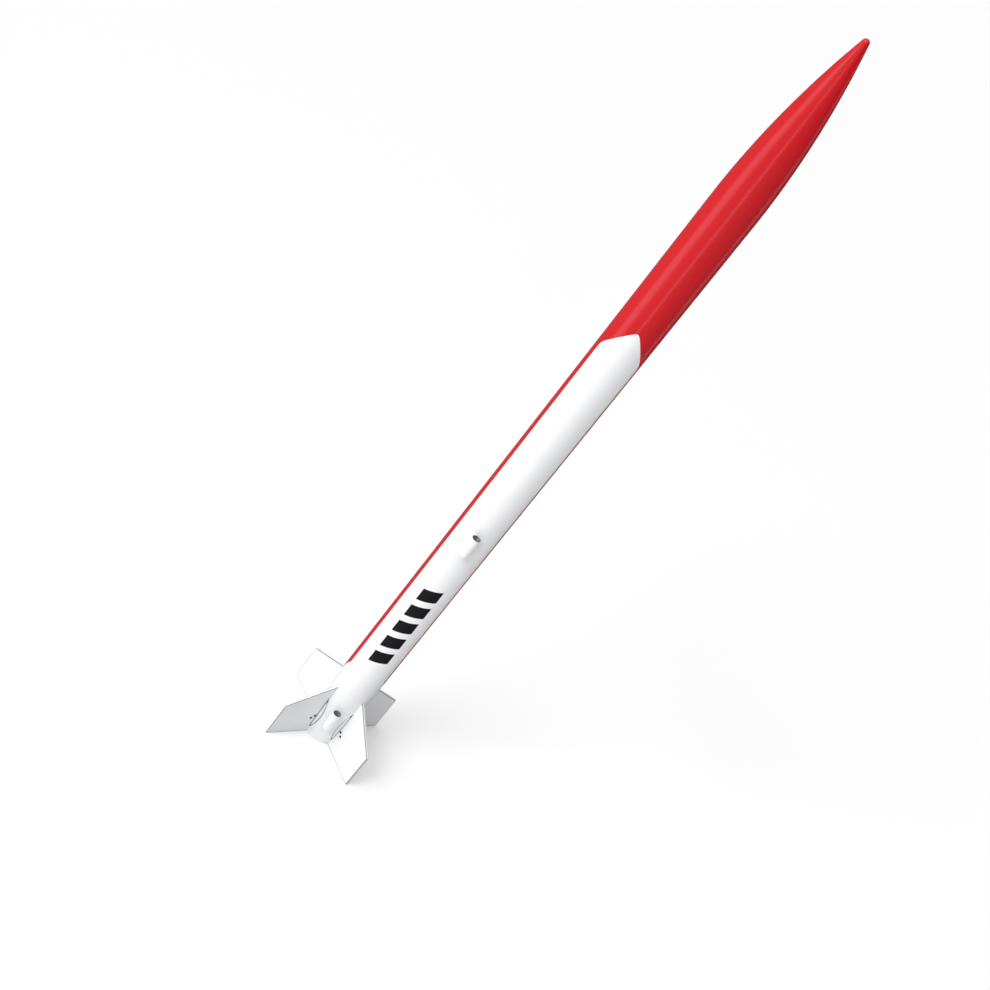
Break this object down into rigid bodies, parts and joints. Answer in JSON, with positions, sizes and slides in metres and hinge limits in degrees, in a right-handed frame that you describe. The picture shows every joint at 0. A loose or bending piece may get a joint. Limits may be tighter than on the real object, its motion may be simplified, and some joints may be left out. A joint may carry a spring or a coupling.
{
  "type": "model rocket",
  "caption": "Slim four-finned model rocket with a long ogive nose, white and red body, tail cone, launch lugs, screw-capped motor mount and packed parachute.",
  "frame": {"origin": "centre of the plane of the fins' rear edges, on the body's axis", "axes": "+Z along the body towards the nose tip, -Y through the launch lugs, fins at 45 degrees to X and Y"},
  "size_m": [0.1106, 0.1106, 0.9719],
  "materials": {
    "white_paint": "gloss white paint on a paper tube",
    "white_plastic": "gloss white moulded plastic",
    "red_paint": "gloss red paint on a paper tube",
    "red_plastic": "gloss red paint on moulded plastic",
    "kraft_paper": "wound kraft paper",
    "fibre_board": "pressed fibre board",
    "bright_steel": "zinc plated wire",
    "dark_metal": "blackened rivets",
    "black_plastic": "black glass-filled nylon",
    "casing_card": "black phenolic tube",
    "graphite": "moulded phenolic",
    "propellant": "cast composite",
    "powder": "black granules",
    "cap_card": "red plastic cap",
    "tissue": "flame resistant tissue",
    "nylon": "ripstop nylon"
  },
  "bodies": {
    "airframe": {"tail_cone": "white_plastic", "aft_body_tube": "white_paint", "forward_body_tube": "red_paint", "tube_coupler": "kraft_paper", "ejection_baffle": "fibre_board", "baffle_eye": "bright_steel", "motor_mount_tube": "kraft_paper", "aft_centering_ring": "fibre_board", "middle_centering_ring": "fibre_board", "forward_centering_ring": "fibre_board", "engine_block": "fibre_board", "retainer_body": "black_plastic", "fin_1": "white_plastic", "fin_2": "white_plastic", "fin_3": "white_plastic", "fin_4": "white_plastic", "fin_rivets": "dark_metal", "aft_launch_lug": "white_plastic", "forward_launch_lug": "white_plastic"},
    "nose": {"nose_cone": "red_plastic", "nose_base": "red_plastic"},
    "motor": {"motor_casing": "casing_card", "motor_nozzle": "graphite", "propellant_grain": "propellant", "delay_element": "propellant", "ejection_charge": "powder", "ejection_cap": "cap_card"},
    "retainer": {"retainer_cap": "black_plastic"},
    "recovery": {"wadding": "tissue", "parachute": "nylon"}
  },
  "joints": [
    {"name": "nose_slide", "type": "slide", "parent": "airframe", "child": "nose", "axis": [0, 0, 1], "range_m": [0, 0.05]},
    {"name": "motor_slide", "type": "slide", "parent": "airframe", "child": "motor", "axis": [0, 0, -1], "range_m": [0, 0.13]},
    {"name": "cap_turn", "type": "hinge", "parent": "motor", "child": "retainer", "pos_m": [0, 0, 0.009], "axis": [0, 0, -1], "range_deg": [0, 540]},
    {"name": "recovery_slide", "type": "slide", "parent": "airframe", "child": "recovery", "axis": [0, 0, 1], "range_m": [0, 0.105]}
  ]
}
